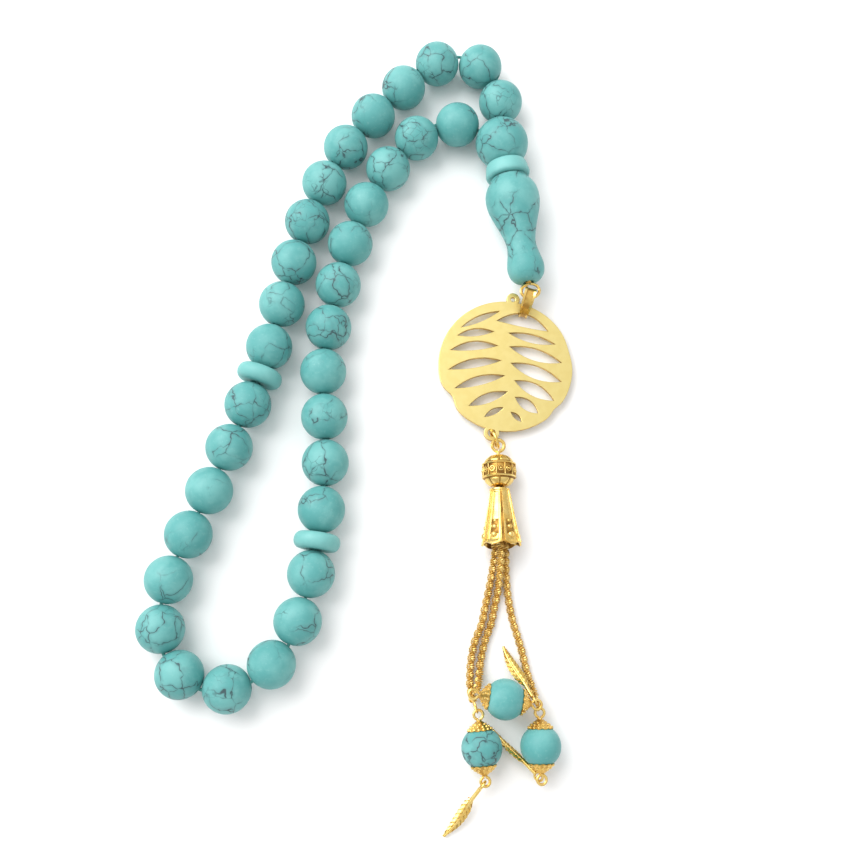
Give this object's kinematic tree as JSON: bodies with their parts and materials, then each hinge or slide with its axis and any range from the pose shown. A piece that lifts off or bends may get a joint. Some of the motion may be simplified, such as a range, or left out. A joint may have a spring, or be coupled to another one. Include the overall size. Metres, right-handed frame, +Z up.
{
  "type": "misbaha prayer beads",
  "caption": "Misbaha: a loop of round stone beads on a cord, with divider discs, a turned imame, a gilt openwork medallion and a chain tassel with beads and feather charms.",
  "frame": {"origin": "under the middle of the whole object's bounding box, on the surface that it lies on", "axes": "+Z up from the surface; +Y along the object from the tassel's tip to the far end of the loop; +X to the right, towards the pendant"},
  "size_m": [0.0928, 0.1763, 0.0122],
  "materials": {
    "stone": "satin turquoise-dyed stone with dark crackle veins",
    "cord": "twisted matt cord",
    "gilt_metal": "gold plated, satin to polished"
  },
  "bodies": {
    "strand": {"stringing_cord": "cord", "imame_head": "stone", "foot_eye": "gilt_metal"},
    "bead_01": {"bead_01": "stone"},
    "bead_02": {"bead_02": "stone"},
    "bead_03": {"bead_03": "stone"},
    "bead_04": {"bead_04": "stone"},
    "bead_05": {"bead_05": "stone"},
    "bead_06": {"bead_06": "stone"},
    "bead_07": {"bead_07": "stone"},
    "bead_08": {"bead_08": "stone"},
    "bead_09": {"bead_09": "stone"},
    "bead_10": {"bead_10": "stone"},
    "bead_11": {"bead_11": "stone"},
    "divider_disc_1": {"divider_disc_1": "stone"},
    "bead_12": {"bead_12": "stone"},
    "bead_13": {"bead_13": "stone"},
    "bead_14": {"bead_14": "stone"},
    "bead_15": {"bead_15": "stone"},
    "bead_16": {"bead_16": "stone"},
    "bead_17": {"bead_17": "stone"},
    "bead_18": {"bead_18": "stone"},
    "bead_19": {"bead_19": "stone"},
    "bead_20": {"bead_20": "stone"},
    "bead_21": {"bead_21": "stone"},
    "bead_22": {"bead_22": "stone"},
    "divider_disc_2": {"divider_disc_2": "stone"},
    "bead_23": {"bead_23": "stone"},
    "bead_24": {"bead_24": "stone"},
    "bead_25": {"bead_25": "stone"},
    "bead_26": {"bead_26": "stone"},
    "bead_27": {"bead_27": "stone"},
    "bead_28": {"bead_28": "stone"},
    "bead_29": {"bead_29": "stone"},
    "bead_30": {"bead_30": "stone"},
    "bead_31": {"bead_31": "stone"},
    "bead_32": {"bead_32": "stone"},
    "bead_33": {"bead_33": "stone"},
    "imame_collar": {"imame_collar": "stone"},
    "imame_vase": {"imame_vase": "stone"},
    "bail": {"bail": "gilt_metal"},
    "medallion": {"medallion": "gilt_metal"},
    "jump_ring": {"jump_ring": "gilt_metal"},
    "tassel_pin": {"tassel_pin": "gilt_metal"},
    "tassel_ball": {"tassel_ball": "gilt_metal"},
    "tassel_bell": {"tassel_bell": "gilt_metal"},
    "chain_1": {"chain_1": "gilt_metal"},
    "chain_2": {"chain_2": "gilt_metal"},
    "chain_3": {"chain_3": "gilt_metal"},
    "bead_pin_1": {"bead_pin_1": "gilt_metal"},
    "bead_pin_2": {"bead_pin_2": "gilt_metal"},
    "bead_pin_3": {"bead_pin_3": "gilt_metal"},
    "tassel_bead_1": {"tassel_bead_1": "stone"},
    "tassel_bead_2": {"tassel_bead_2": "stone"},
    "tassel_bead_3": {"tassel_bead_3": "stone"},
    "feather_1": {"feather_1": "gilt_metal"},
    "feather_2": {"feather_2": "gilt_metal"},
    "feather_3": {"feather_3": "gilt_metal"}
  },
  "joints": [
    {"name": "bead_01_spin", "type": "hinge", "parent": "strand", "child": "bead_01", "pos_m": [0.03141, 0.07343, 0.005], "axis": [-0.0639, 0.998, 0], "continuous": true},
    {"name": "bead_02_spin", "type": "hinge", "parent": "strand", "child": "bead_02", "pos_m": [0.02686, 0.08244, 0.005], "axis": [-0.8218, 0.5697, 0], "continuous": true},
    {"name": "bead_03_spin", "type": "hinge", "parent": "strand", "child": "bead_03", "pos_m": [0.01678, 0.08297, 0.005], "axis": [-0.8941, -0.4479, 0], "continuous": true},
    {"name": "bead_04_spin", "type": "hinge", "parent": "strand", "child": "bead_04", "pos_m": [0.00892, 0.07665, 0.005], "axis": [-0.7059, -0.7083, 0], "continuous": true},
    {"name": "bead_05_spin", "type": "hinge", "parent": "strand", "child": "bead_05", "pos_m": [0.0019, 0.06939, 0.005], "axis": [-0.6737, -0.739, 0], "continuous": true},
    {"name": "bead_06_spin", "type": "hinge", "parent": "strand", "child": "bead_06", "pos_m": [-0.00434, 0.06146, 0.005], "axis": [-0.5473, -0.837, 0], "continuous": true},
    {"name": "bead_07_spin", "type": "hinge", "parent": "strand", "child": "bead_07", "pos_m": [-0.00912, 0.05257, 0.005], "axis": [-0.4094, -0.9123, 0], "continuous": true},
    {"name": "bead_08_spin", "type": "hinge", "parent": "strand", "child": "bead_08", "pos_m": [-0.01284, 0.04319, 0.005], "axis": [-0.3273, -0.9449, 0], "continuous": true},
    {"name": "bead_09_spin", "type": "hinge", "parent": "strand", "child": "bead_09", "pos_m": [-0.01568, 0.03351, 0.005], "axis": [-0.2426, -0.9701, 0], "continuous": true},
    {"name": "bead_10_spin", "type": "hinge", "parent": "strand", "child": "bead_10", "pos_m": [-0.01814, 0.02371, 0.005], "axis": [-0.2508, -0.968, 0], "continuous": true},
    {"name": "bead_11_spin", "type": "hinge", "parent": "strand", "child": "bead_11", "pos_m": [-0.02072, 0.01395, 0.005], "axis": [-0.2653, -0.9642, 0], "continuous": true},
    {"name": "divider_disc_1_spin", "type": "hinge", "parent": "strand", "child": "divider_disc_1", "pos_m": [-0.02264, 0.00739, 0.005], "axis": [-0.3133, -0.9496, 0], "continuous": true},
    {"name": "bead_12_spin", "type": "hinge", "parent": "strand", "child": "bead_12", "pos_m": [-0.02499, 0.00096, 0.005], "axis": [-0.3577, -0.9338, 0], "continuous": true},
    {"name": "bead_13_spin", "type": "hinge", "parent": "strand", "child": "bead_13", "pos_m": [-0.02873, -0.00842, 0.005], "axis": [-0.3791, -0.9253, 0], "continuous": true},
    {"name": "bead_14_spin", "type": "hinge", "parent": "strand", "child": "bead_14", "pos_m": [-0.03263, -0.01773, 0.005], "axis": [-0.3929, -0.9196, 0], "continuous": true},
    {"name": "bead_15_spin", "type": "hinge", "parent": "strand", "child": "bead_15", "pos_m": [-0.03663, -0.02699, 0.005], "axis": [-0.4059, -0.9139, 0], "continuous": true},
    {"name": "bead_16_spin", "type": "hinge", "parent": "strand", "child": "bead_16", "pos_m": [-0.04034, -0.03637, 0.005], "axis": [-0.2909, -0.9568, 0], "continuous": true},
    {"name": "bead_17_spin", "type": "hinge", "parent": "strand", "child": "bead_17", "pos_m": [-0.0416, -0.04639, 0.005], "axis": [0.0927, -0.9957, 0], "continuous": true},
    {"name": "bead_18_spin", "type": "hinge", "parent": "strand", "child": "bead_18", "pos_m": [-0.0374, -0.05557, 0.005], "axis": [0.7357, -0.6773, 0], "continuous": true},
    {"name": "bead_19_spin", "type": "hinge", "parent": "strand", "child": "bead_19", "pos_m": [-0.02775, -0.05854, 0.005], "axis": [0.9909, 0.1345, 0], "continuous": true},
    {"name": "bead_20_spin", "type": "hinge", "parent": "strand", "child": "bead_20", "pos_m": [-0.01888, -0.05375, 0.005], "axis": [0.7004, 0.7137, 0], "continuous": true},
    {"name": "bead_21_spin", "type": "hinge", "parent": "strand", "child": "bead_21", "pos_m": [-0.01367, -0.04511, 0.005], "axis": [0.3467, 0.938, 0], "continuous": true},
    {"name": "bead_22_spin", "type": "hinge", "parent": "strand", "child": "bead_22", "pos_m": [-0.01104, -0.03537, 0.005], "axis": [0.1856, 0.9826, 0], "continuous": true},
    {"name": "divider_disc_2_spin", "type": "hinge", "parent": "strand", "child": "divider_disc_2", "pos_m": [-0.0099, -0.02863, 0.005], "axis": [0.1462, 0.9893, 0], "continuous": true},
    {"name": "bead_23_spin", "type": "hinge", "parent": "strand", "child": "bead_23", "pos_m": [-0.00903, -0.02184, 0.005], "axis": [0.1106, 0.9939, 0], "continuous": true},
    {"name": "bead_24_spin", "type": "hinge", "parent": "strand", "child": "bead_24", "pos_m": [-0.00831, -0.01178, 0.005], "axis": [0.0265, 0.9996, 0], "continuous": true},
    {"name": "bead_25_spin", "type": "hinge", "parent": "strand", "child": "bead_25", "pos_m": [-0.0086, -0.00169, 0.005], "axis": [-0.0712, 0.9975, 0], "continuous": true},
    {"name": "bead_26_spin", "type": "hinge", "parent": "strand", "child": "bead_26", "pos_m": [-0.00894, 0.00839, 0.005], "axis": [0.0301, 0.9995, 0], "continuous": true},
    {"name": "bead_27_spin", "type": "hinge", "parent": "strand", "child": "bead_27", "pos_m": [-0.0079, 0.01841, 0.005], "axis": [0.1648, 0.9863, 0], "continuous": true},
    {"name": "bead_28_spin", "type": "hinge", "parent": "strand", "child": "bead_28", "pos_m": [-0.00585, 0.0283, 0.005], "axis": [0.2341, 0.9722, 0], "continuous": true},
    {"name": "bead_29_spin", "type": "hinge", "parent": "strand", "child": "bead_29", "pos_m": [-0.00323, 0.03805, 0.005], "axis": [0.2915, 0.9566, 0], "continuous": true},
    {"name": "bead_30_spin", "type": "hinge", "parent": "strand", "child": "bead_30", "pos_m": [0.00036, 0.04748, 0.005], "axis": [0.4262, 0.9046, 0], "continuous": true},
    {"name": "bead_31_spin", "type": "hinge", "parent": "strand", "child": "bead_31", "pos_m": [0.00528, 0.05629, 0.005], "axis": [0.5456, 0.8381, 0], "continuous": true},
    {"name": "bead_32_spin", "type": "hinge", "parent": "strand", "child": "bead_32", "pos_m": [0.01183, 0.06397, 0.005], "axis": [0.7707, 0.6371, 0], "continuous": true},
    {"name": "bead_33_spin", "type": "hinge", "parent": "strand", "child": "bead_33", "pos_m": [0.02126, 0.06752, 0.005], "axis": [0.9953, -0.097, 0], "continuous": true},
    {"name": "imame_collar_spin", "type": "hinge", "parent": "strand", "child": "imame_collar", "pos_m": [0.03236, 0.05548, 0.00612], "axis": [-0.1513, 0.9885, 0], "continuous": true},
    {"name": "imame_vase_spin", "type": "hinge", "parent": "strand", "child": "imame_vase", "pos_m": [0.03433, 0.04263, 0.00612], "axis": [-0.1513, 0.9885, 0], "continuous": true},
    {"name": "bail_swing", "type": "hinge", "parent": "strand", "child": "bail", "pos_m": [0.03699, 0.02524, 0.00612], "axis": [-0.9613, 0.2756, 0], "range_deg": [0, 20]},
    {"name": "medallion_swing", "type": "hinge", "parent": "bail", "child": "medallion", "pos_m": [0.0359, 0.0238, 0.0017], "axis": [0, 0, 1], "range_deg": [-6, 6]},
    {"name": "jump_ring_swing", "type": "hinge", "parent": "medallion", "child": "jump_ring", "pos_m": [0.0278, -0.0046, 0.0017], "axis": [0, 0, 1], "range_deg": [-10, 10]},
    {"name": "tassel_pin_swing", "type": "hinge", "parent": "jump_ring", "child": "tassel_pin", "pos_m": [0.029, -0.0078, 0.0036], "axis": [-1, 0, 0], "range_deg": [0, 15]},
    {"name": "tassel_ball_spin", "type": "hinge", "parent": "tassel_pin", "child": "tassel_ball", "pos_m": [0.029, -0.0135, 0.00386], "axis": [0, 0.9992, -0.0401], "continuous": true},
    {"name": "tassel_bell_spin", "type": "hinge", "parent": "tassel_pin", "child": "tassel_bell", "pos_m": [0.029, -0.02354, 0.00426], "axis": [0, 0.9992, -0.0401], "continuous": true},
    {"name": "chain_1_swing", "type": "hinge", "parent": "tassel_pin", "child": "chain_1", "pos_m": [0.029, -0.02239, 0.00422], "axis": [0, 0, -1], "range_deg": [0, 8]},
    {"name": "chain_2_swing", "type": "hinge", "parent": "tassel_pin", "child": "chain_2", "pos_m": [0.029, -0.02239, 0.00422], "axis": [-1, 0, 0], "range_deg": [0, 12]},
    {"name": "chain_3_swing", "type": "hinge", "parent": "tassel_pin", "child": "chain_3", "pos_m": [0.029, -0.02239, 0.00422], "axis": [0, 0, 1], "range_deg": [0, 8]},
    {"name": "bead_pin_1_swing", "type": "hinge", "parent": "chain_1", "child": "bead_pin_1", "pos_m": [0.02343, -0.06432, 0.0042], "axis": [0, 0, -1], "range_deg": [0, 15]},
    {"name": "tassel_bead_1_spin", "type": "hinge", "parent": "bead_pin_1", "child": "tassel_bead_1", "pos_m": [0.024, -0.0709, 0.0042], "axis": [-0.0872, 0.9962, 0], "continuous": true},
    {"name": "feather_1_swing", "type": "hinge", "parent": "bead_pin_1", "child": "feather_1", "pos_m": [0.02457, -0.07748, 0.0042], "axis": [-0.788, 0.6157, 0], "range_deg": [0, 45]},
    {"name": "bead_pin_2_swing", "type": "hinge", "parent": "chain_2", "child": "bead_pin_2", "pos_m": [0.0224, -0.06015, 0.0054], "axis": [-0.1736, -0.9848, 0], "range_deg": [0, 30]},
    {"name": "tassel_bead_2_spin", "type": "hinge", "parent": "bead_pin_2", "child": "tassel_bead_2", "pos_m": [0.0289, -0.0613, 0.0054], "axis": [-0.9848, 0.1736, 0], "continuous": true},
    {"name": "feather_2_swing", "type": "hinge", "parent": "bead_pin_2", "child": "feather_2", "pos_m": [0.0354, -0.06245, 0.0054], "axis": [0.891, 0.454, 0], "range_deg": [0, 40]},
    {"name": "bead_pin_3_swing", "type": "hinge", "parent": "chain_3", "child": "bead_pin_3", "pos_m": [0.0361, -0.0641, 0.0042], "axis": [0, 0, 1], "range_deg": [0, 25]},
    {"name": "tassel_bead_3_spin", "type": "hinge", "parent": "bead_pin_3", "child": "tassel_bead_3", "pos_m": [0.0361, -0.0707, 0.0042], "axis": [0, 1, 0], "continuous": true},
    {"name": "feather_3_swing", "type": "hinge", "parent": "bead_pin_3", "child": "feather_3", "pos_m": [0.0361, -0.0773, 0.0042], "axis": [0, 0, 1], "range_deg": [-3, 1]}
  ]
}
